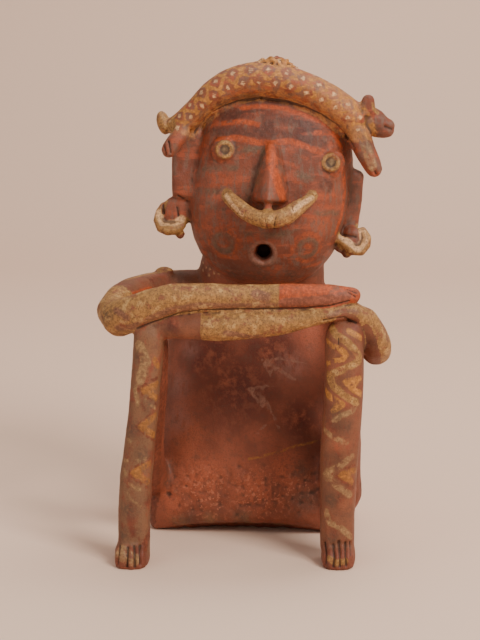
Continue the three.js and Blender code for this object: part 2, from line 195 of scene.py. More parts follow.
# Each run is a list of (x, y, z, radius in mm) along the middle of a limb.
TOP_ARM = [
    (-9, 9, 52, 14.3),
    (-17.7, 6.4, 52, 13.9),
    (-22.3, 0, 52.3, 13.5),
    (-25.6, -6.6, 51.6, 13.8),
    (-26.8, -11.4, 49.8, 14.8),
    (-25.5, -15, 49, 16.6),
    (-21.4, -17.7, 50.8, 15.9),
    (-15, -19.1, 53.5, 14),
    (-8, -19.3, 54.2, 12.4),
    (1.3, -19.3, 54.2, 11.4),
    (9.6, -19.6, 54.7, 10.9),
    (17, -19.9, 54.8, 10.4),
    (22.6, -19.1, 54.9, 6),
]
LOW_ARM = [
    (12, 9, 47.4, 14.3),
    (18.5, 5.5, 47.2, 13.3),
    (23.2, -2.3, 46, 13),
    (26.1, -11, 42.1, 13.8),
    (25.6, -15, 45.2, 13),
    (23.4, -17.6, 50, 11.3),
    (20.6, -19.3, 52, 8.9),
    (16, -19.8, 51.2, 9),
    (10, -19.8, 50, 10.6),
    (3.5, -19.8, 49.1, 12.3),
    (-5, -19.5, 48.6, 12.9),
    (-12.4, -19.1, 48.4, 11.4),
    (-19, -18, 47.2, 7.8),
]
LEFT_SHIN = [
    (-18.6, -18.4, 49, 12.5),
    (-19.5, -18.5, 38, 12.9),
    (-20, -18.6, 31.2, 13),
    (-21.2, -18.6, 21.6, 13.4),
    (-21.9, -18.7, 15, 14.2),
    (-22.2, -19, 3, 13.9),
]
RIGHT_SHIN = [
    (19.4, -18.2, 50.2, 16.2),
    (19.6, -18.2, 38.8, 16.8),
    (19.1, -18, 29, 17.3),
    (18.7, -17.7, 20.4, 16.5),
    (18.5, -17.3, 11.4, 15.3),
    (18.6, -17.2, 3, 15.2),
]
RIGHT_THIGH = [
    (19.5, -17, 48.6, 15.1),
    (19.5, -12.8, 35, 16.6),
    (19.2, -5.6, 22, 17.3),
    (19.2, -0.4, 11.6, 20.2),
    (19, 1.6, 4.6, 19.8),
]
ANIMAL = [
    (-16.6, -1.4, 86, 8),
    (-13.6, -1.8, 86.4, 11),
    (-11, -1.8, 88.7, 12),
    (-8.4, -1.8, 91.2, 13),
    (-5.8, -1.8, 93.2, 14.5),
    (-2.6, -1.8, 94.7, 15.6),
    (1.1, -1.8, 95.4, 15.6),
    (5.1, -1.8, 95.3, 15.6),
    (9.5, -1.8, 94.2, 15),
    (13.8, -1.8, 92.4, 15),
    (17.4, -1.8, 90.4, 14.7),
    (20.4, -1.8, 87.8, 14.4),
    (22.6, -1.8, 85, 11),
]
ANIMAL_HALF_THICKNESS = 15
ANIMAL_HALF_DEPTH = 26
ANIMAL_MEAN_RADIUS = 21
LATTICE_START = 97  # mm along the body and up its front to the middle of one mesh
LATTICE_RISE = 14.3
LATTICE_WIDTH = 7.1  # mm from the middle of a mesh to its corners
LATTICE_HEIGHT = 15.8
CREST = [
    (2.2, -1.6, 97.4, 6),
    (4.4, -1.6, 98, 8.5),
    (6.2, -1.6, 98, 8.5),
    (8.8, -1.6, 96.8, 5.1),
]
CREST_OVAL = (1, 2 / 3, 1)  # half as deep again as it is high
NOSE_RING = [
    (-4.3, -8.6, 73, 5.9),
    (-2.3, -10.5, 71.7, 6.4),
    (-0.2, -12, 70, 7.3),
    (3.8, -13.7, 68.7, 7.8),
    (7.5, -13.4, 69.3, 8),
    (10.7, -11.4, 71.3, 6.8),
    (13.3, -7.9, 72.7, 4.7),
]
LEFT_EARRING = [
    (-17.3, 0, 70.4, 2.6),
    (-18.6, -0.6, 67.8, 3.8),
    (-18.2, -1.2, 65.6, 4.8),
    (-16.2, -1.8, 64.9, 5.4),
    (-14.2, -1.6, 65.3, 4.4),
    (-13, -0.8, 66.4, 2.8),
]
RIGHT_EARRING = [
    (17.7, -0.6, 63.8, 3.4),
    (19.8, -1, 61.9, 4),
    (21.8, -1.2, 60.5, 4.4),
    (23.3, -0.6, 61, 4.4),
    (24, 0.2, 62.6, 4),
    (23.9, 0.8, 64.2, 3.6),
    (22.6, 1.2, 65.3, 2.8),
]


# Sums over all points of a mesh at once


def smooth_run(rows, steps=10):
    """The run as rows of x, y, z and radius in metres, with steps rows between each two given ones."""
    rows = np.array([(*pose(x, y, z), radius * MM) for x, y, z, radius in rows])
    padded = np.vstack([2 * rows[0] - rows[1], rows, 2 * rows[-1] - rows[-2]])
    t = np.arange(steps)[:, None] / steps
    spans = []
    for a, b, c, d in zip(padded, padded[1:], padded[2:], padded[3:]):
        bend = 2 * a - 5 * b + 4 * c - d
        twist = 3 * b - a - 3 * c + d
        spans.append(0.5 * (2 * b + (c - a) * t + bend * t**2 + twist * t**3))
    return np.vstack([*spans, rows[-1:]])


def near_run(points, rows, squeeze=(1, 1, 1)):
    """For each point: metres along the run, the gap to the run's surface, and the run's nearest row.

    Squeeze scales both first, so that a run with an oval section is measured as a round one.
    """
    run = smooth_run(rows)
    spots = points * squeeze
    middles = run[:, :3] * squeeze
    squares = (spots**2).sum(1)[:, None] - 2 * spots @ middles.T + (middles**2).sum(1)
    nearest = squares.argmin(1)
    gap = np.sqrt(np.maximum(squares[np.arange(len(points)), nearest], 0)) - run[nearest, 3]
    travelled = np.concatenate([[0], np.cumsum(np.linalg.norm(np.diff(run[:, :3], axis=0), axis=1))])
    return travelled[nearest], gap, nearest, run


def to_line(points, line):
    """The distance of points to a line through the given corners."""
    corners = np.array(line, float)
    best = np.linalg.norm(points - corners[0], axis=1)
    for start, end in zip(corners, corners[1:]):
        way = end - start
        share = np.clip((points - start) @ way / max(way @ way, 1e-12), 0, 1)
        best = np.minimum(best, np.linalg.norm(points - start - share[:, None] * way, axis=1))
    return best


def eased(value, low, high):
    """0 at low and before it, 1 at high and past it, and a smooth step between them."""
    share = np.clip((value - low) / (high - low), 0, 1)
    return share * share * (3 - 2 * share)


def lumpiness(points, size, seed=0.0):
    """Smooth noise from -1 to 1 whose lumps have the given size."""
    shift = Vector((seed, 2.3 * seed, -1.7 * seed))
    return np.array([noise.noise(Vector(point) / size + shift) for point in points])


def coordinates(mesh):
    flat = np.empty(3 * len(mesh.vertices))
    mesh.vertices.foreach_get("co", flat)
    return flat.reshape(-1, 3)


def place_coordinates(mesh, points):
    """Moves the points of the mesh, none of them out of the solid's box."""
    inside = np.clip(points, low_corner, high_corner)
    mesh.vertices.foreach_set("co", inside.ravel())
    mesh.update()


def vertex_normals(mesh):
    flat = np.empty(3 * len(mesh.vertices))
    mesh.vertex_normals.foreach_get("vector", flat)
    return flat.reshape(-1, 3)


def relaxed(mesh, points, rounds, strength=0.5):
    """Moves every point, or each column of values, towards its neighbours' mean, again and again."""
    edges = np.empty(2 * len(mesh.edges), np.int64)
    mesh.edges.foreach_get("vertices", edges)
    a, b = edges.reshape(-1, 2).T
    count = len(points)
    share = (np.bincount(a, minlength=count) + np.bincount(b, minlength=count)).clip(1)
    points = points.copy()
    for _ in range(rounds):
        for axis in range(points.shape[1]):
            line = points[:, axis]
            total = np.bincount(a, line[b], count) + np.bincount(b, line[a], count)
            points[:, axis] = line + strength * (total / share - line)
    return points


# What the photograph's pixels show. A mark is given by its pixels and laid on the surface under them.


class Sight:
    """Looks from the photograph's standpoint at a mesh."""

    def __init__(self, mesh):
        mesh.calc_loop_triangles()
        corners = [vertex.co for vertex in mesh.vertices]
        triangles = [tuple(triangle.vertices) for triangle in mesh.loop_triangles]
        self.tree = BVHTree.FromPolygons(corners, triangles)
        self.turn = bpy.context.scene.camera.matrix_world.to_3x3()
        self.eye = bpy.context.scene.camera.location.copy()

    def hit(self, across, down):
        """The point of the surface under a pixel of the photograph, or None beside the figure."""
        right = across - IMAGE_WIDTH_PX / 2
        up = IMAGE_HEIGHT_PX / 2 - down
        ray = self.turn @ Vector((right, up, -FOCAL_LENGTH_PX))
        return self.tree.ray_cast(self.eye, ray.normalized())[0]

    def line(self, pixels, pace=5):
        """The points of the surface along a line of pixels, close enough to follow the surface."""
        found = []
        for start, end in zip(pixels, pixels[1:] or pixels):
            steps = max(1, round(math.dist(start, end) / pace))
            for step in range(steps):
                share = step / steps
                found.append([a + share * (b - a) for a, b in zip(start, end)])
        found.append(pixels[-1])
        hits = [self.hit(*pixel) for pixel in found]
        return [hit for hit in hits if hit is not None]


# The clay form


def activate(piece):
    bpy.ops.object.select_all(action="DESELECT")
    piece.select_set(True)
    bpy.context.view_layer.objects.active = piece


def apply_modifier(piece, kind, **settings):
    activate(piece)
    modifier = piece.modifiers.new(kind.lower(), kind)
    for name, value in settings.items():
        setattr(modifier, name, value)
    bpy.ops.object.modifier_apply(modifier=modifier.name)


def rolled_clay():
    """A copy of the solid whose facets are relaxed into hand-rolled clay."""
    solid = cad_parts["clay_figure"]
    figure = solid.copy()
    figure.data = solid.data.copy()
    figure.name = "painted_figure"
    figure.data.name = "painted_figure"
    bpy.context.collection.objects.link(figure)
    activate(figure)
    bpy.ops.object.mode_set(mode="EDIT")
    bpy.ops.mesh.select_all(action="SELECT")
    bpy.ops.mesh.remove_doubles(threshold=1e-6)
    bpy.ops.object.mode_set(mode="OBJECT")
    figure.data.materials.clear()
    apply_modifier(figure, "REMESH", mode="VOXEL", voxel_size=VOXEL)
    mesh = figure.data
    points = coordinates(mesh)
    kept = relaxed(mesh, points, SMALL_ROUNDS)
    limb = relaxed(mesh, kept, LIMB_ROUNDS)
    broad = relaxed(mesh, limb, BROAD_ROUNDS)
    shares = np.stack([small_forms(mesh, points), broad_clay(points)], axis=1)
    shares = relaxed(mesh, shares, BLEND_ROUNDS)
    small, wide = shares[:, :1], shares[:, 1:]
    points = limb + wide * (broad - limb)
    points += small * (kept - points)
    place_coordinates(mesh, points)
    place_coordinates(mesh, points + SHRINK_MENDED * (1 - small) * vertex_normals(mesh))
    return figure


# Where small forms keep their shape: (radius in mm, pixel of the photograph)
SMALL_FORMS = [
    (15, (262, 251)),
    (15, (224.6, 149.7)),
    (15, (331, 162.4)),
    (20, (267, 196)),
    (17, (278, 60)),
    (19, (160, 120)),
    (17, (167, 148)),
    (24, (380, 118)),
    (18, (375, 172)),
    (16, (352, 292)),
    (30, (130, 558)),
    (28, (338, 555)),
    (12, (165, 269)),
]


def small_forms(mesh, points):
    """1 on the face's features, the rings, ears, hands, feet and the animal's ends, and 0 elsewhere."""
    sight = Sight(mesh)
    share = np.zeros(len(points))
    for radius, pixel in SMALL_FORMS:
        centre = sight.hit(*pixel)
        if centre is not None:
            share = np.maximum(share, to_line(points, [centre]) < radius * MM)
    for rows in (NOSE_RING, LEFT_EARRING, RIGHT_EARRING):
        share = np.maximum(share, near_run(points, rows)[1] < 9 * MM)
    return share


def broad_clay(points):
    """1 on the broad sides of the trunk and head, where the facets are wide, and 0 on small forms."""
    local = head_local(points)
    high_on_head = (local[:, 2] > 42 * MM) & (local[:, 1] < 60 * MM)
    behind = local[:, 1] > 4 * MM
    cheeks = (np.abs(local[:, 0]) < 80 * MM) & (behind | high_on_head)
    trunk = (points[:, 1] > -0.014) & (points[:, 2] < 0.2) & (np.abs(points[:, 0]) < 0.085)
    back = (points[:, 1] > 0.05) & (points[:, 2] < 0.3)
    return (cheeks & (points[:, 2] > 0.3) | trunk | back).astype(float)


def head_local(points):
    """The points in the head's own frame: across the face, back from it and up."""
    return (points - np.array(HEAD_PLACE.translation)) @ np.array(HEAD_PLACE.to_3x3())


# Grooves and cracks as (width and depth in mm, pixels of the photograph)
PRESSED_LINES = [
    # Toes of the left foot
    (2.6, 2.6, [(119, 546), (118, 556), (117.5, 563)]),
    (2.6, 3, [(127.6, 547), (127, 558), (126.5, 568)]),
    (2.6, 3, [(134.3, 546), (135, 558), (135, 568)]),
    (2.6, 3, [(140.2, 546), (140.8, 558), (141, 565)]),
    # Toes of the right foot
    (2.6, 2.6, [(324.5, 543), (325.5, 556), (325, 563)]),
    (2.6, 2.6, [(333, 545), (334, 558), (333, 567)]),
    (2.6, 3, [(338.8, 542), (340, 556), (340, 567)]),
    (2.6, 3, [(345.6, 543), (346, 556), (346.5, 566)]),
    (2.2, 2.4, [(350.4, 542), (351.5, 555)]),
    # Fingers
    (1.6, 1.8, [(347, 288.5), (357, 293)]),
    (1.6, 1.8, [(348.5, 292), (356, 297)]),
    (1.6, 1.6, [(346, 286), (353, 287)]),
    # The crease under the animal
    (2.6, 2.2, [(194.8, 133), (199.7, 126), (211.3, 113), (224.6, 106.3), (238, 101.4), (261, 98.4)]),
    (2.6, 2.2, [(261, 98.4), (286, 101.7), (304.2, 107.2), (320.8, 114.6), (335.7, 124.6), (345.7, 134.5)]),
    (2.6, 2, [(345.7, 134.5), (352.3, 146), (354.3, 154)]),
    # The creases between the arms, and between the right arm and the knee
    (1.8, 1.6, [(137, 328.5), (153.3, 322.4), (179.4, 313.3), (201.5, 310.3), (237.7, 309.5)]),
    (1.8, 1.6, [(237.7, 309.5), (277.8, 308.8), (306, 308), (330, 306), (350, 301)]),
    (2, 1.6, [(323, 320.5), (344, 317.5), (356, 323)]),
    # Slits of the lobes
    (2.2, 2.4, [(162.5, 202), (163.5, 213)]),
    (2, 2.2, [(177, 207), (178.5, 216)]),
    (2, 2, [(178, 196), (183.5, 199)]),
    (2.4, 2, [(342, 234.5), (356, 237)]),
    # Cracks of the nose ring
    (1.6, 1.6, [(275.5, 217), (274.5, 228)]),
    (1.4, 1.2, [(292, 206), (293.5, 211)]),
    (1.4, 1.2, [(265.5, 220), (267, 228)]),
    (1.4, 1, [(240, 208), (237, 214)]),
    # Toes of the animal's paws, and its mouth
    (2, 2, [(163, 143), (166, 156)]),
    (2, 2, [(168, 141), (171, 153)]),
    (2.6, 2.4, [(375, 172), (377.5, 177)]),
    (2.4, 2.4, [(385, 126.5), (393, 129.5)]),
    # A crack in the knee
    (1.4, 1.2, [(338.5, 338), (338, 344)]),
]

# Pits in the worn front of the base: (width and depth in mm, pixel)
PITS = [
    (5.5, 1.4, (168.5, 494)),
    (4, 0.9, (186, 486)),
    (6, 0.8, (221, 505)),
    (5, 0.8, (262, 500)),
]


def press(figure):
    """Presses the grooves, cracks, pits, eyes and the mouth's lip into the clay."""
    sight = Sight(figure.data)
    points = coordinates(figure.data)
    push = np.zeros(len(points))
    for width, depth, pixels in PRESSED_LINES + [(width, depth, [pixel]) for width, depth, pixel in PITS]:
        line = sight.line(pixels, pace=2)
        if line:
            distance = to_line(points, line) / (width * MM / 2)
            push -= depth * MM * np.exp(-(distance**2))
    for across, up in EYES:
        local = head_local(points)
        front = local[:, 1] < -30 * MM
        radius = np.hypot(local[:, 0] - across, local[:, 2] - up)
        rim = np.exp(-(((radius - EYE_RIM_RADIUS) / EYE_RIM_WIDTH) ** 2))
        dish = 1 - eased(radius, 0.5 * EYE_RIM_RADIUS, 0.9 * EYE_RIM_RADIUS)
        push += front * (1.3 * MM * rim - 0.5 * MM * dish)
    lip = to_line(points, [MOUTH_PLACE])
    push += 0.9 * MM * np.exp(-(((lip - LIP_RADIUS) / (2 * MM)) ** 2))
    place_coordinates(figure.data, points + push[:, None] * vertex_normals(figure.data))


def finish_surface(figure):
    """Gives the figure the unevenness of hand work, presses its marks and thins the mesh."""
    mesh = figure.data
    points = coordinates(mesh)
    push = UNDULATION * lumpiness(points, WIDE_LUMP)
    push += 0.35 * UNDULATION * lumpiness(points, SMALL_LUMP, 3)
    crest = eased(near_run(points, CREST, CREST_OVAL)[1], 2.5 * MM, 0)
    push += CRUMBLE * crest * lumpiness(points, CRUMB, 5)
    worn_base = eased(points[:, 2], 0.09, 0.05) * (np.abs(points[:, 0]) < 0.07) * (points[:, 1] > -0.05)
    push += 1.6 * UNDULATION * worn_base * lumpiness(points, 6 * MM, 8)
    place_coordinates(mesh, points + push[:, None] * vertex_normals(mesh))
    press(figure)
    triangles = sum(len(face.vertices) - 2 for face in mesh.polygons)
    if triangles > TRIANGLES:
        apply_modifier(figure, "DECIMATE", ratio=TRIANGLES / triangles)
        place_coordinates(mesh, coordinates(mesh))
    activate(figure)
    bpy.ops.object.shade_smooth()


# The slip paint. Each colour is a field on the points of the mesh: how far, in mm, a point lies inside
# the painted shapes. The material turns a field into paint with ragged, worn edges.

# Some of the fields are painted shade and painted light rather than paint.
UNPAINTED = -9.0
FACE_PAINT = ["orange", "stroke", "grey"]  # what other paints push aside

# Metres along each arm from its shoulder
TOP_SLEEVE_START = 0.11
TOP_HAND_START = 0.2
LOW_SLEEVE_START = 0.075
LOW_FOREARM_START = 0.17

# The ringed dots of the cheeks: radii and half widths in mm
CHEEK_DOTS = [(307.6, 248.3), (223, 243.4)]  # pixels of the photograph
CHEEK_DOT_RADIUS = 4.4
CHEEK_SHADE_RADIUS = 8.5
CHEEK_SHADE_HALF = 2
CHEEK_RING_RADIUS = 13.5
CHEEK_RING_HALF = 2.3

# Painted lines as (colour, width in mm, pixels of the photograph)
FACE_LINES = [
    ("orange", 4, [(241, 108.4), (259, 106), (283, 108.4), (304, 115), (324, 123), (340, 136)]),
    ("orange", 4.5, [(223, 123), (242.6, 121.4), (259, 124.7)]),
    ("orange", 4.5, [(315.8, 132.8), (332, 132.8), (341, 146), (344, 160)]),
    ("orange", 5.5, [(216.6, 139.3), (236, 137.7), (258.8, 142.6), (268.6, 142.6)]),
    ("orange", 5.5, [(268.6, 142.6), (291.4, 141), (310.9, 149), (328.8, 154)]),
    ("stroke", 2.6, [(216.6, 138), (211.5, 149), (216.6, 162), (229.6, 160.5)]),
    ("stroke", 3, [(236, 157), (258.8, 152)]),
    ("stroke", 3, [(206.8, 175), (232.8, 176.7)]),
    ("stroke", 3, [(205, 186), (230, 184)]),
    ("stroke", 3, [(204, 198), (222, 200)]),
    ("orange", 9, [(269, 146), (271, 152)]),
    ("orange", 11, [(272, 158), (275, 172), (279, 186), (283, 199)]),
    ("stroke", 3, [(288, 150.7), (307.6, 158.8)]),
    ("stroke", 3, [(286, 164), (300, 168)]),
    ("stroke", 3, [(290, 180), (305, 184)]),
    ("stroke", 3, [(322, 156), (320, 165.3), (326, 176), (338.5, 176), (341.8, 162)]),
    ("orange", 5.5, [(343, 168.6), (345, 191.4), (341.5, 215.8), (336, 232)]),
    ("stroke", 3.5, [(307.6, 193), (336.9, 196.2)]),
    ("stroke", 3, [(301, 203), (332, 207)]),
    ("stroke", 3, [(296, 216), (330, 219)]),
    ("stroke", 3.5, [(199, 232), (207, 218), (223, 221), (234, 228)]),
    ("stroke", 3, [(201, 245), (205, 258), (216, 268)]),
    ("stroke", 3, [(290, 262), (304, 268), (322, 262)]),
    ("umber", 12, [(324, 184), (328, 186)]),
    ("umber", 8.5, [(221, 116), (262, 113.5), (305, 124), (325, 133)]),
    ("umber", 8, [(213, 131), (262, 133), (306, 139), (324, 144)]),
    ("umber", 4, [(241, 102.5), (262, 101), (290, 104)]),
    ("umber", 12, [(268, 118), (267, 131)]),
    ("grey", 9, [(264, 151), (258, 172), (249, 197)]),
    ("grey", 6, [(238, 149), (256, 150)]),
    ("grey", 5, [(204, 168), (236, 168)]),
    ("grey", 5, [(203, 191), (226, 192)]),
    ("grey", 5, [(296, 174), (312, 178)]),
    ("grey", 5, [(316, 213), (337, 213)]),
    ("grey", 5, [(246, 233), (280, 236), (300, 226)]),
    ("grey", 3, [(210, 207), (224, 209)]),
]

LEG_LINES = [
    # The zigzag of the right leg and its echoes
    ("cream", 6.5, [(331, 327), (336, 335), (346, 341), (354, 349), (359.5, 356)]),
    ("cream", 6.5, [(359.5, 361), (349, 367), (337, 372), (327.5, 375)]),
    ("cream", 6.5, [(327.5, 375), (333, 386), (345, 396), (357, 403)]),
    ("chalk", 5, [(356, 405), (351, 412), (341, 416), (334, 421)]),
    ("chalk", 5, [(324.5, 430), (333, 437), (346, 443)]),
    ("chalk", 5.5, [(353, 456), (340, 466), (327, 472)]),
    ("chalk", 6.5, [(325, 476), (336, 485), (350, 495)]),
    ("chalk", 5.5, [(326, 511), (328, 522), (341, 528), (351, 537)]),
    ("ochre", 4.5, [(327, 340), (331, 345), (340, 349), (346.5, 354)]),
    ("ochre", 4.5, [(346.5, 354), (343, 359.5), (334, 361), (327, 363.5)]),
    ("ochre", 5, [(349, 331), (356, 335), (361, 338)]),
    ("ochre", 5.5, [(360, 378), (346, 382), (352, 388), (361, 394)]),
    ("ochre", 4.5, [(326, 390), (330, 396), (341, 403)]),
    ("ochre", 5, [(328, 396), (343, 405), (333, 411)]),
    ("amber", 5.5, [(357, 469), (341, 475), (352, 482)]),
    # The left leg
    ("amber", 5.5, [(157, 384), (143, 390), (156, 398)]),
    ("amber", 6, [(155, 416), (141, 427), (154, 435)]),
    ("amber", 5.5, [(150, 463), (133, 473), (148, 482)]),
    ("amber", 5, [(154, 359), (158, 366)]),
    ("chalk", 3.5, [(145, 400), (155, 408)]),
    ("chalk", 4, [(124, 460), (136, 462), (148, 458)]),
    ("chalk", 3.5, [(124, 470), (130, 484), (140, 490)]),
    ("chalk", 3, [(127, 494), (140, 506)]),
    ("chalk", 9, [(139, 345), (146, 362), (140, 380)]),
    ("chalk", 4, [(135, 390), (138, 404)]),
    ("chalk", 4, [(128, 440), (133, 446)]),
    ("brick", 3, [(157, 378), (137, 390), (156, 404)]),
    ("brick", 3, [(156, 411), (136, 427), (154, 441)]),
    ("brick", 3, [(150, 458), (128, 473), (148, 489)]),
    ("brick", 3, [(357, 463), (334, 475), (353, 488)]),
    ("brick", 9, [(166, 345), (164, 380), (161, 420), (158, 455), (156, 490), (150, 530), (145, 548)]),
]

TORSO_LINES = [
    ("scuff", 3.2, [(273, 377), (262, 360.5), (278, 369), (295, 380)]),
    ("scuff", 3.2, [(272, 385), (249, 389), (257, 400), (265, 408)]),
    ("scuff", 2.8, [(259, 391), (268, 404), (279, 428)]),
    ("scuff", 2.6, [(255, 436), (266, 424)]),
    ("scuff", 2.4, [(263, 361), (280, 358), (308, 365)]),
    ("amber", 2.2, [(249, 459), (272, 454), (296, 446), (320, 441)]),
]

ARM_LINES = [
    # Worn and stained places of the sleeves
    ("rose", 8, [(150, 319), (170, 311), (197, 306.5), (240, 307), (274, 306.5)]),
    ("rose", 7, [(118, 328), (132, 327), (146, 322)]),
    ("rose", 9, [(256, 294), (266, 297)]),
    ("rose", 6, [(116, 310), (127, 318)]),
    ("rose", 6, [(226, 333), (250, 337), (262, 336)]),
    ("rose", 10, [(284, 303.5), (312, 302), (335, 300), (346, 297)]),
    ("rose", 6, [(330, 316), (344, 311), (356, 312)]),
    ("rose", 5, [(378, 316), (384, 328), (388, 340)]),
    ("orange", 4, [(135, 306), (138, 310)]),
    ("orange", 6, [(116, 290), (126, 294)]),
    ("orange", 3, [(122, 297), (146, 289), (176, 284)]),
    ("cream", 3, [(122, 281), (146, 274), (160, 272)]),
]

ORNAMENT_LINES = [
    # Deposits on the toes, the paw and the animal's head, and the pellet on the shoulder
    ("cream", 6, [(329, 559), (337, 563), (345, 561)]),
    ("chalk", 14, [(120, 552), (132, 560)]),
    ("cream", 5, [(372, 105), (377, 112)]),
    ("cream", 7, [(160, 269), (170, 268)]),
    ("ochre", 13, [(262, 59), (288, 64)]),
    ("cream", 22, [(161, 119), (168, 128)]),
    ("chalk", 9, [(366, 146), (372, 166)]),
    ("chalk", 11, [(112, 325), (108, 314), (114, 303)]),
    # Paler paint on the earrings and the nose ring, laid on as painted highlights on their lit sides
    ("pale", 7, [(342, 237), (350, 243), (358, 249), (364, 241), (362, 232)]),
    ("pale", 7, [(158, 213), (163, 223), (174, 224), (182, 219)]),
    ("pale", 4.5, [(293, 211), (303, 203), (313, 197)]),
    ("pale", 4, [(225, 194), (232, 205), (242, 215)]),
    ("pale", 2.6, [(203, 263)]),
    ("pale", 2.6, [(206, 267)]),
    ("pale", 2.6, [(203, 270)]),
    ("pale", 2.6, [(210, 269)]),
    ("pale", 2.6, [(214, 273)]),
    ("pale", 2.6, [(219, 274)]),
    ("pale", 2.6, [(209, 275)]),
]

# Broad stains, painted shade and painted light as (colour, radius in mm, pixel of the photograph)
STAINS_AND_SHADING = [
    ("fleck", 44, (205, 495)),
    ("fleck", 44, (260, 495)),
    ("fleck", 34, (300, 490)),
    ("tan", 15, (180, 523)),
    ("tan", 15, (210, 521)),
    ("tan", 15, (245, 521)),
    ("tan", 15, (280, 524)),
    ("deep_red_and_shadow", 17, (150, 278)),
    ("deep_red_and_shadow", 17, (178, 277)),
    ("deep_red_and_shadow", 16, (340, 352)),
    ("deep_red_and_shadow", 16, (340, 385)),
    ("deep_red_and_shadow", 17, (338, 425)),
    ("deep_red_and_shadow", 17, (338, 460)),
    ("deep_red_and_shadow", 17, (338, 500)),
    # Painted shade in the crease between the left thigh and the trunk
    ("soot_and_shade", 12, (169, 468)),
    ("soot_and_shade", 10, (167, 482)),
    # Painted light on the lower front of the trunk, which faces up
    ("bright_red_and_lit", 22, (215, 478)),
    ("bright_red_and_lit", 30, (285, 470)),
    # Painted shadow of the arms on the top of the trunk
    ("deep_red_and_shadow", 40, (215, 352)),
    # Dark red on the forehead, and below the top arm's elbow
    ("deep_red_and_shadow", 22, (265, 124)),
    ("deep_red_and_shadow", 20, (236, 118)),
    ("deep_red_and_shadow", 22, (305, 130)),
    ("deep_red_and_shadow", 20, (170, 328)),
    # More painted shadow of the arms on the top and middle of the trunk
    ("deep_red_and_shadow", 62, (240, 385)),
    ("deep_red_and_shadow", 30, (225, 340)),
    ("deep_red_and_shadow", 26, (255, 348)),
    ("deep_red_and_shadow", 30, (200, 360)),
    ("deep_red_and_shadow", 45, (275, 352)),
    ("deep_red_and_shadow", 34, (300, 420)),
    # Painted shade on the inner side of the right elbow
    ("deep_red_and_shadow", 16, (369, 344)),
    # More painted light on the lower front of the trunk and the base, which face up
    ("bright_red_and_lit", 40, (200, 480)),
    ("bright_red_and_lit", 42, (255, 490)),
    ("bright_red_and_lit", 26, (170, 500)),
    # Bright red on the right knee
    ("bright_red_and_lit", 26, (310, 330)),
    # Painted light on the right cheek and the right of the forehead, the side the light comes from
    ("bright_red_and_lit", 20, (320, 220)),
    ("bright_red_and_lit", 16, (330, 145)),
    # Painted sheen: painted reflections on the burnished trunk, the neck and the left flange
    ("sheen", 20, (178, 385)),
    ("sheen", 20, (180, 420)),
    ("sheen", 16, (190, 350)),
    ("sheen", 22, (290, 365)),
    ("sheen", 18, (212, 268)),
    ("sheen", 16, (182, 170)),
    # Painted shade under the chin, and painted shadow of the animal on the right flange and beside its hind
    # leg
    ("soot_and_shade", 24, (262, 276)),
    ("soot_and_shade", 18, (235, 274)),
    ("soot_and_shade", 18, (290, 276)),
    ("soot_and_shade", 16, (355, 172)),
    ("soot_and_shade", 14, (192, 140)),
    ("soot_and_shade", 20, (352, 205)),
    ("soot_and_shade", 16, (356, 186)),
    # Tan on the left of the nose
    ("tan", 12, (257, 182)),
    ("tan", 10, (259, 170)),
    # Dark patches on the lower trunk, the base, the left elbow and the paw
    ("soot_and_shade", 16, (300, 470)),
    ("soot_and_shade", 20, (305, 500)),
    ("soot_and_shade", 16, (240, 517)),
    ("soot_and_shade", 14, (190, 520)),
    ("soot_and_shade", 14, (106, 316)),
    ("soot_and_shade", 12, (368, 142)),
    ("soot_and_shade", 12, (378, 130)),
    # Painted shadow under the animal's front edge on the forehead
    ("soot_and_shade", 12, (250, 96)),
    ("soot_and_shade", 10, (222, 104)),
    # Dark mottling of the legs
    ("soot_and_shade", 14, (132, 430)),
    ("soot_and_shade", 14, (128, 510)),
    ("soot_and_shade", 13, (118, 470)),
    ("soot_and_shade", 11, (150, 520)),
    ("soot_and_shade", 12, (336, 412)),
    ("soot_and_shade", 12, (330, 500)),
    ("soot_and_shade", 11, (141, 455)),
    ("soot_and_shade", 9, (149, 404)),
    ("soot_and_shade", 10, (124, 535)),
    ("soot_and_shade", 10, (140, 357)),
    ("soot_and_shade", 10, (347, 428)),
    ("soot_and_shade", 9, (349, 512)),
    ("soot_and_shade", 9, (333, 538)),
    # Dark and bright mottling of the legs
    ("deep_red_and_shadow", 12, (148, 410)),
    ("deep_red_and_shadow", 12, (141, 443)),
    ("deep_red_and_shadow", 12, (146, 498)),
    ("deep_red_and_shadow", 11, (136, 536)),
    ("bright_red_and_lit", 12, (150, 350)),
    ("bright_red_and_lit", 11, (143, 478)),
    ("bright_red_and_lit", 11, (148, 528)),
    ("bright_red_and_lit", 12, (345, 398)),
    ("bright_red_and_lit", 12, (340, 445)),
    ("bright_red_and_lit", 11, (346, 506)),
]


class Paint:
    """The fields of all colours on one mesh."""

    def __init__(self, mesh):
        self.mesh = mesh
        self.sight = Sight(mesh)
        self.points = coordinates(mesh)
        self.fields = {}

    def add(self, colour, inside, where=None, low=UNPAINTED, high=-UNPAINTED):
        field = self.fields.setdefault(colour, np.full(len(self.points), low))
        if where is not None:
            inside = np.where(where, inside, low)
        np.maximum(field, np.clip(inside, low, high), out=field)

    def draw(self, lines, where=None):
        for colour, width, pixels in lines:
            line = self.sight.line(pixels)
            if line:
                self.add(colour, width / 2 - to_line(self.points, line) / MM, where)

    def stain_and_shading(self, stains_and_shading):
        for colour, radius, pixel in stains_and_shading:
            centre = self.sight.hit(*pixel)
            if centre is not None:
                distance = to_line(self.points, [centre]) / (radius * MM)
                self.add(colour, 1 - eased(distance, 0, 1), low=0.0, high=1.0)

    def clear(self, colours, where):
        for colour in colours:
            if colour in self.fields:
                self.fields[colour][where] = UNPAINTED

    def store(self):
        for colour, field in self.fields.items():
            attribute = self.mesh.attributes.new(f"{colour}_paint", "FLOAT", "POINT")
            attribute.data.foreach_set("value", field)


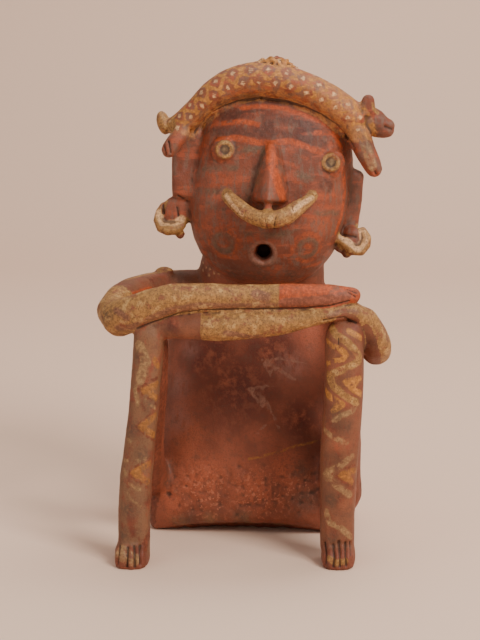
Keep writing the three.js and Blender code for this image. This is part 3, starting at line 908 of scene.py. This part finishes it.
def paint_arms(paint):
    """Cream sleeves on both forearms, a red hand on each."""
    points = paint.points
    along_top, gap_top, _, _ = near_run(points, TOP_ARM)
    along_low, gap_low, _, _ = near_run(points, LOW_ARM)
    gap_knee = np.minimum(near_run(points, LEFT_SHIN)[1], near_run(points, RIGHT_SHIN)[1])
    gap_knee = np.minimum(gap_knee, near_run(points, RIGHT_THIGH)[1])
    on_top = (gap_top < 2.5 * MM) & (gap_top <= gap_low) & (gap_top < gap_knee + 0.5 * MM)
    on_low = (gap_low < 2.5 * MM) & (gap_low < gap_top) & (gap_low < gap_knee)
    paint.clear(["ochre", "cream", "orange", "grey"], (on_top | on_low) & (points[:, 1] < -0.05))
    wrist_top = paint.sight.hit(279, 296)
    wrist_low = paint.sight.hit(200.5, 328)
    sleeve_top = np.minimum(along_top - TOP_SLEEVE_START, wrist_top.x - points[:, 0])
    paint.add("cream", sleeve_top / MM, on_top)
    in_hand = on_top & (along_top > TOP_HAND_START)
    paint.add("orange", (points[:, 0] - wrist_top.x) / MM, in_hand)
    sleeve_low = np.minimum(along_low - LOW_SLEEVE_START, points[:, 0] - wrist_low.x)
    inner = vertex_normals(paint.mesh)[:, 0] < 0.3
    red_side = (along_low < LOW_FOREARM_START) & inner & (points[:, 2] < 0.23)
    paint.add("cream", sleeve_low / MM, on_low & ~red_side)
    paint.draw(ARM_LINES, on_top | on_low)


def paint_animal(paint):
    """A lattice of ochre lines with a pale dot in each mesh, on the upper half of the body."""
    points = paint.points
    oval = (1, ANIMAL_HALF_THICKNESS / ANIMAL_HALF_DEPTH, 1)
    along, gap, nearest, run = near_run(points, ANIMAL, oval)
    offset = points - run[nearest, :3]
    way = np.gradient(run[:, :3], axis=0)[nearest]
    way /= np.linalg.norm(way, axis=1, keepdims=True)
    outward = np.stack([-way[:, 2], np.zeros(len(way)), way[:, 0]], axis=1)
    rise = (offset * outward).sum(1)
    angle = np.arctan2(rise / ANIMAL_HALF_THICKNESS, -offset[:, 1] / ANIMAL_HALF_DEPTH)
    around = angle * ANIMAL_MEAN_RADIUS
    here = (gap < 4 * MM) & (points[:, 2] > pose(0, 0, 78).z) & (head_local(points)[:, 0] < 0.12)
    paint.clear(FACE_PAINT, here)
    band = here & (around > -7) & (around < 82)
    on_band = eased(around, -16, -4)
    faded = eased(points[:, 0], 0.03, 0.07)  # the paint is fainter towards the animal's head
    buff = eased(gap / MM, 6, 3) * (1 - on_band * (0.85 - 0.5 * faded))
    paint.add("buff", buff, here, low=0.0, high=1.0)
    across = (along / MM - LATTICE_START) / LATTICE_WIDTH
    up = (around - LATTICE_RISE) / LATTICE_HEIGHT
    one_way = np.abs((across + up) % 2 - 1)
    other_way = np.abs((across - up) % 2 - 1)
    paint.add("ochre", 2.1 - 9 * np.minimum(1 - one_way, 1 - other_way) - 0.3 * faded, band)
    paint.add("pale", 3 - 9 * np.maximum(one_way, 1.2 * other_way), band)


def paint_clouds(paint):
    """The tan bloom of the shins and arms, and the brushed strokes of the face."""
    for rows, strength in [(LEFT_SHIN, 1), (RIGHT_SHIN, 0.5), (TOP_ARM, 0.5), (LOW_ARM, 0.4)]:
        gap = near_run(paint.points, rows)[1] / MM
        paint.add("tan", strength * eased(gap, 5, 1), low=0.0, high=1.0)
    local = head_local(paint.points) / MM
    front = eased(local[:, 1], 25, -5) * eased(local[:, 2], -95, -80) * (paint.points[:, 2] > 0.24)
    paint.add("face", front, low=0.0, high=1.0)


def paint_ornaments(paint):
    for rows in (NOSE_RING, LEFT_EARRING, RIGHT_EARRING):
        _, gap, _, _ = near_run(paint.points, rows)
        paint.add("cream", 2 - gap / MM)
        paint.clear(FACE_PAINT, gap < 1.5 * MM)


def paint_eyes(paint):
    local = head_local(paint.points)
    front = local[:, 1] < -30 * MM
    for across, up in EYES:
        radius = np.hypot(local[:, 0] - across, local[:, 2] - up) / MM
        rim = (EYE_RIM_RADIUS + EYE_RIM_WIDTH) / MM
        paint.clear(FACE_PAINT, front & (radius < rim + 0.3))
        paint.add("cream", rim - radius, front & (radius > 4))
        paint.add("olive", PUPIL_RADIUS / MM - radius, front)


def paint_cheeks(paint):
    """A ring round a dot on each cheek, and the pale lip."""
    for pixel in CHEEK_DOTS:
        centre = paint.sight.hit(*pixel)
        radius = to_line(paint.points, [centre]) / MM
        ring = CHEEK_RING_HALF - np.abs(radius - CHEEK_RING_RADIUS)
        paint.add("stroke", np.maximum(ring, CHEEK_DOT_RADIUS - radius))
        paint.add("grey", CHEEK_SHADE_HALF - np.abs(radius - CHEEK_SHADE_RADIUS))
    lip = to_line(paint.points, [MOUTH_PLACE]) - LIP_RADIUS
    paint.add("scuff", 2.4 - np.abs(lip) / MM)


def hollowness(mesh, points):
    """How far each point lies in a hollow of the surface, in mm."""
    smooth = relaxed(mesh, points, 8)
    return ((smooth - points) * vertex_normals(mesh)).sum(1) / MM


def paint_figure(figure):
    paint = Paint(figure.data)
    paint.draw(FACE_LINES)
    paint_cheeks(paint)
    paint.draw(LEG_LINES)
    paint_arms(paint)
    paint_animal(paint)
    paint_eyes(paint)
    paint_ornaments(paint)
    paint.draw(ORNAMENT_LINES)
    paint.draw(TORSO_LINES)
    paint.stain_and_shading(STAINS_AND_SHADING)
    paint_clouds(paint)
    # Painted shade in the hollows of the surface
    paint.fields["hollow"] = hollowness(figure.data, paint.points)
    paint.store()


# The materials


class Nodes:
    """Short calls for the nodes of one material."""

    def __init__(self, name):
        self.material = bpy.data.materials.new(name)
        self.material.use_nodes = True
        self.tree = self.material.node_tree
        self.shader = self.tree.nodes["Principled BSDF"]
        self.place = self.tree.nodes.new("ShaderNodeTexCoord").outputs["Object"]

    def join(self, source, socket):
        if hasattr(source, "default_value") and hasattr(source, "is_output"):
            self.tree.links.new(source, socket)
        else:
            socket.default_value = source

    def math(self, operation, *values):
        node = self.tree.nodes.new("ShaderNodeMath")
        node.operation = operation
        for value, socket in zip(values, node.inputs):
            self.join(value, socket)
        return node.outputs[0]

    def noise(self, size, detail=3, roughness=0.55, seed=0.0, stretch=(1, 1, 1)):
        """Noise from 0 to 1 whose lumps have the given size in metres."""
        mapping = self.tree.nodes.new("ShaderNodeMapping")
        mapping.inputs["Location"].default_value = (seed, -seed, 0.7 * seed)
        mapping.inputs["Scale"].default_value = stretch
        self.tree.links.new(self.place, mapping.inputs["Vector"])
        node = self.tree.nodes.new("ShaderNodeTexNoise")
        node.inputs["Scale"].default_value = 1 / size
        node.inputs["Detail"].default_value = detail
        node.inputs["Roughness"].default_value = roughness
        self.tree.links.new(mapping.outputs[0], node.inputs["Vector"])
        return node.outputs["Fac"]

    def step(self, value, low, high):
        node = self.tree.nodes.new("ShaderNodeMapRange")
        node.interpolation_type = "SMOOTHSTEP"
        self.join(value, node.inputs["Value"])
        self.join(low, node.inputs["From Min"])
        self.join(high, node.inputs["From Max"])
        return node.outputs[0]

    def attribute(self, name):
        node = self.tree.nodes.new("ShaderNodeAttribute")
        node.attribute_name = name
        return node.outputs["Fac"]

    def mixed(self, below, above, share):
        node = self.tree.nodes.new("ShaderNodeMix")
        node.data_type = "RGBA"
        self.join(share, node.inputs["Factor"])
        self.join(below, node.inputs["A"])
        self.join(above, node.inputs["B"])
        return node.outputs["Result"]


def painted_clay():
    nodes = Nodes("painted_clay")
    ragged = nodes.noise(3 * MM, detail=4, seed=1.3)
    worn = nodes.noise(9 * MM, detail=5, roughness=0.7, seed=4.1)
    cloud = nodes.noise(38 * MM, detail=4, seed=7.7)
    grain = nodes.noise(1.2 * MM, detail=3, seed=2.2)
    thickness = nodes.noise(8 * MM, detail=5, roughness=0.6, seed=3.4)
    bloom = nodes.noise(11 * MM, detail=5, roughness=0.7, seed=6.2, stretch=(1, 1, 0.6))
    brushed = nodes.noise(7 * MM, detail=4, seed=9.1, stretch=(0.22, 0.5, 1))
    smeared = nodes.noise(5 * MM, detail=4, roughness=0.65, seed=5.5, stretch=(1, 1, 0.3))

    # The red slip, its broad stains, and the painted shade, painted light and painted sheen laid over it
    colour = nodes.mixed((0.17, 0.045, 0.023, 1), (0.27, 0.072, 0.035, 1), nodes.step(cloud, 0.35, 0.68))
    for name, stain_and_shading, strength, ragged_by in [
        ("buff", (0.58, 0.25, 0.075, 1), 0.85, worn),
        ("deep_red_and_shadow", (0.08, 0.013, 0.007, 1), 0.92, worn),
        ("bright_red_and_lit", (0.4, 0.095, 0.04, 1), 0.75, worn),
        ("tan", (0.2, 0.103, 0.05, 1), 0.8, bloom),
        ("sheen", (0.24, 0.115, 0.09, 1), 0.5, smeared),
    ]:
        field = nodes.attribute(f"{name}_paint")
        share = nodes.math("MULTIPLY", field, nodes.step(ragged_by, 0.34, 0.54))
        colour = nodes.mixed(colour, stain_and_shading, nodes.math("MULTIPLY", share, strength))
    blotch = nodes.math("MULTIPLY", nodes.step(worn, 0.5, 0.72), 0.5)
    colour = nodes.mixed(colour, (0.11, 0.048, 0.03, 1), blotch)

    # The pitted front of the base, where bare clay and scabs of dirt show
    fleck = nodes.attribute("fleck_paint")
    scab = nodes.math("MULTIPLY", fleck, nodes.step(smeared, 0.54, 0.64))
    colour = nodes.mixed(colour, (0.1, 0.032, 0.018, 1), nodes.math("MULTIPLY", scab, 0.7))
    bare = nodes.math("MULTIPLY", fleck, nodes.step(ragged, 0.55, 0.62))
    colour = nodes.mixed(colour, (0.52, 0.17, 0.09, 1), nodes.math("MULTIPLY", bare, 0.65))

    # The brush strokes of the face, worn down the face
    face = nodes.attribute("face_paint")
    strokes = nodes.math("MULTIPLY", face, nodes.step(brushed, 0.5, 0.62))
    colour = nodes.mixed(colour, (0.4, 0.085, 0.035, 1), nodes.math("MULTIPLY", strokes, 0.6))
    smears = nodes.math("MULTIPLY", face, nodes.step(smeared, 0.47, 0.62))
    colour = nodes.mixed(colour, (0.17, 0.1, 0.07, 1), nodes.math("MULTIPLY", smears, 0.65))

    # The coats of paint, each with its colour, strength, wear and the softness of its edge in mm
    coats = [
        ("grey", (0.17, 0.108, 0.066, 1), 0.8, 0.1, 2),
        ("umber", (0.1, 0.038, 0.026, 1), 0.72, 0.1, 2.4),
        ("scuff", (0.36, 0.17, 0.11, 1), 0.6, 0, 0.7),
        ("orange", (0.54, 0.092, 0.022, 1), 0.88, 0.08, 1.1),
        ("stroke", (0.46, 0.088, 0.027, 1), 0.72, 0.13, 1.5),
        ("brick", (0.21, 0.052, 0.024, 1), 0.9, 0, 0.7),
        ("ochre", (0.6, 0.245, 0.048, 1), 0.92, 0.06, 0.7),
        ("amber", (0.44, 0.17, 0.034, 1), 0.82, 0.06, 0.9),
        ("chalk", (0.44, 0.26, 0.11, 1), 0.75, 0.14, 0.8),
        ("cream", (0.43, 0.212, 0.062, 1), 0.95, 0.07, 0.7),
        ("rose", (0.25, 0.1, 0.065, 1), 0.75, 0.05, 1.2),
        ("pale", (0.86, 0.5, 0.24, 1), 0.85, 0, 0.9),
        ("olive", (0.27, 0.18, 0.085, 1), 0.85, 0, 1.2),
    ]
    spread = nodes.math("MULTIPLY", nodes.math("SUBTRACT", ragged, 0.5), 3)
    slip = nodes.step(ragged, 0.36, 0.6)
    for name, paint, strength, wear, softness in coats:
        shifted = nodes.math("ADD", nodes.attribute(f"{name}_paint"), spread)
        edge = nodes.step(shifted, -softness, softness)
        kept = nodes.step(worn, 0.76 - wear, 0.56 - wear)
        share = nodes.math("MULTIPLY", nodes.math("MULTIPLY", edge, kept), strength)
        darker = tuple(0.62 * channel for channel in paint[:3]) + (1,)
        colour = nodes.mixed(colour, nodes.mixed(paint, darker, slip), share)

    # Where the cream paint is thicker, and where rust shows through it
    on_cream = nodes.step(nodes.attribute("cream_paint"), -0.5, 1)
    thick = nodes.math("MULTIPLY", on_cream, nodes.step(thickness, 0.52, 0.66))
    colour = nodes.mixed(colour, (0.62, 0.37, 0.14, 1), nodes.math("MULTIPLY", thick, 0.55))
    rust = nodes.math("MULTIPLY", on_cream, nodes.step(worn, 0.57, 0.64))
    colour = nodes.mixed(colour, (0.26, 0.08, 0.035, 1), nodes.math("MULTIPLY", rust, 0.6))

    # Soot and painted shade, painted shade in the hollows, and specks, the most on the cream paint
    soot_and_shade_share = nodes.math("MULTIPLY", nodes.attribute("soot_and_shade_paint"), nodes.step(ragged, 0.25, 0.6))
    colour = nodes.mixed(colour, (0.07, 0.042, 0.028, 1), nodes.math("MULTIPLY", soot_and_shade_share, 0.7))
    hollow_shade = nodes.step(nodes.attribute("hollow_paint"), 0.05, 0.4)
    colour = nodes.mixed(colour, (0.05, 0.022, 0.013, 1), nodes.math("MULTIPLY", hollow_shade, 0.8))
    amount = nodes.math("ADD", nodes.math("MULTIPLY", on_cream, 0.3), 0.45)
    speck = nodes.math("MULTIPLY", nodes.step(grain, 0.54, 0.64), amount)
    colour = nodes.mixed(colour, (0.1, 0.045, 0.024, 1), speck)
    nodes.tree.links.new(colour, nodes.shader.inputs["Base Color"])

    roughness = nodes.math("ADD", nodes.math("MULTIPLY", worn, 0.3), 0.42)
    nodes.tree.links.new(roughness, nodes.shader.inputs["Roughness"])
    nodes.shader.inputs["Specular IOR Level"].default_value = 0.35
    bump = nodes.tree.nodes.new("ShaderNodeBump")
    bump.inputs["Strength"].default_value = 0.6
    bump.inputs["Distance"].default_value = 0.5 * MM
    height = nodes.math("ADD", grain, nodes.math("MULTIPLY", ragged, 1.5))
    nodes.tree.links.new(height, bump.inputs["Height"])
    nodes.tree.links.new(bump.outputs[0], nodes.shader.inputs["Normal"])
    return nodes.material


# The scene

place_camera()
light_studio()
lay_floor()

figure = rolled_clay()
finish_surface(figure)
paint_figure(figure)
figure.data.materials.append(painted_clay())
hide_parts("clay_figure")
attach(figure, "root")
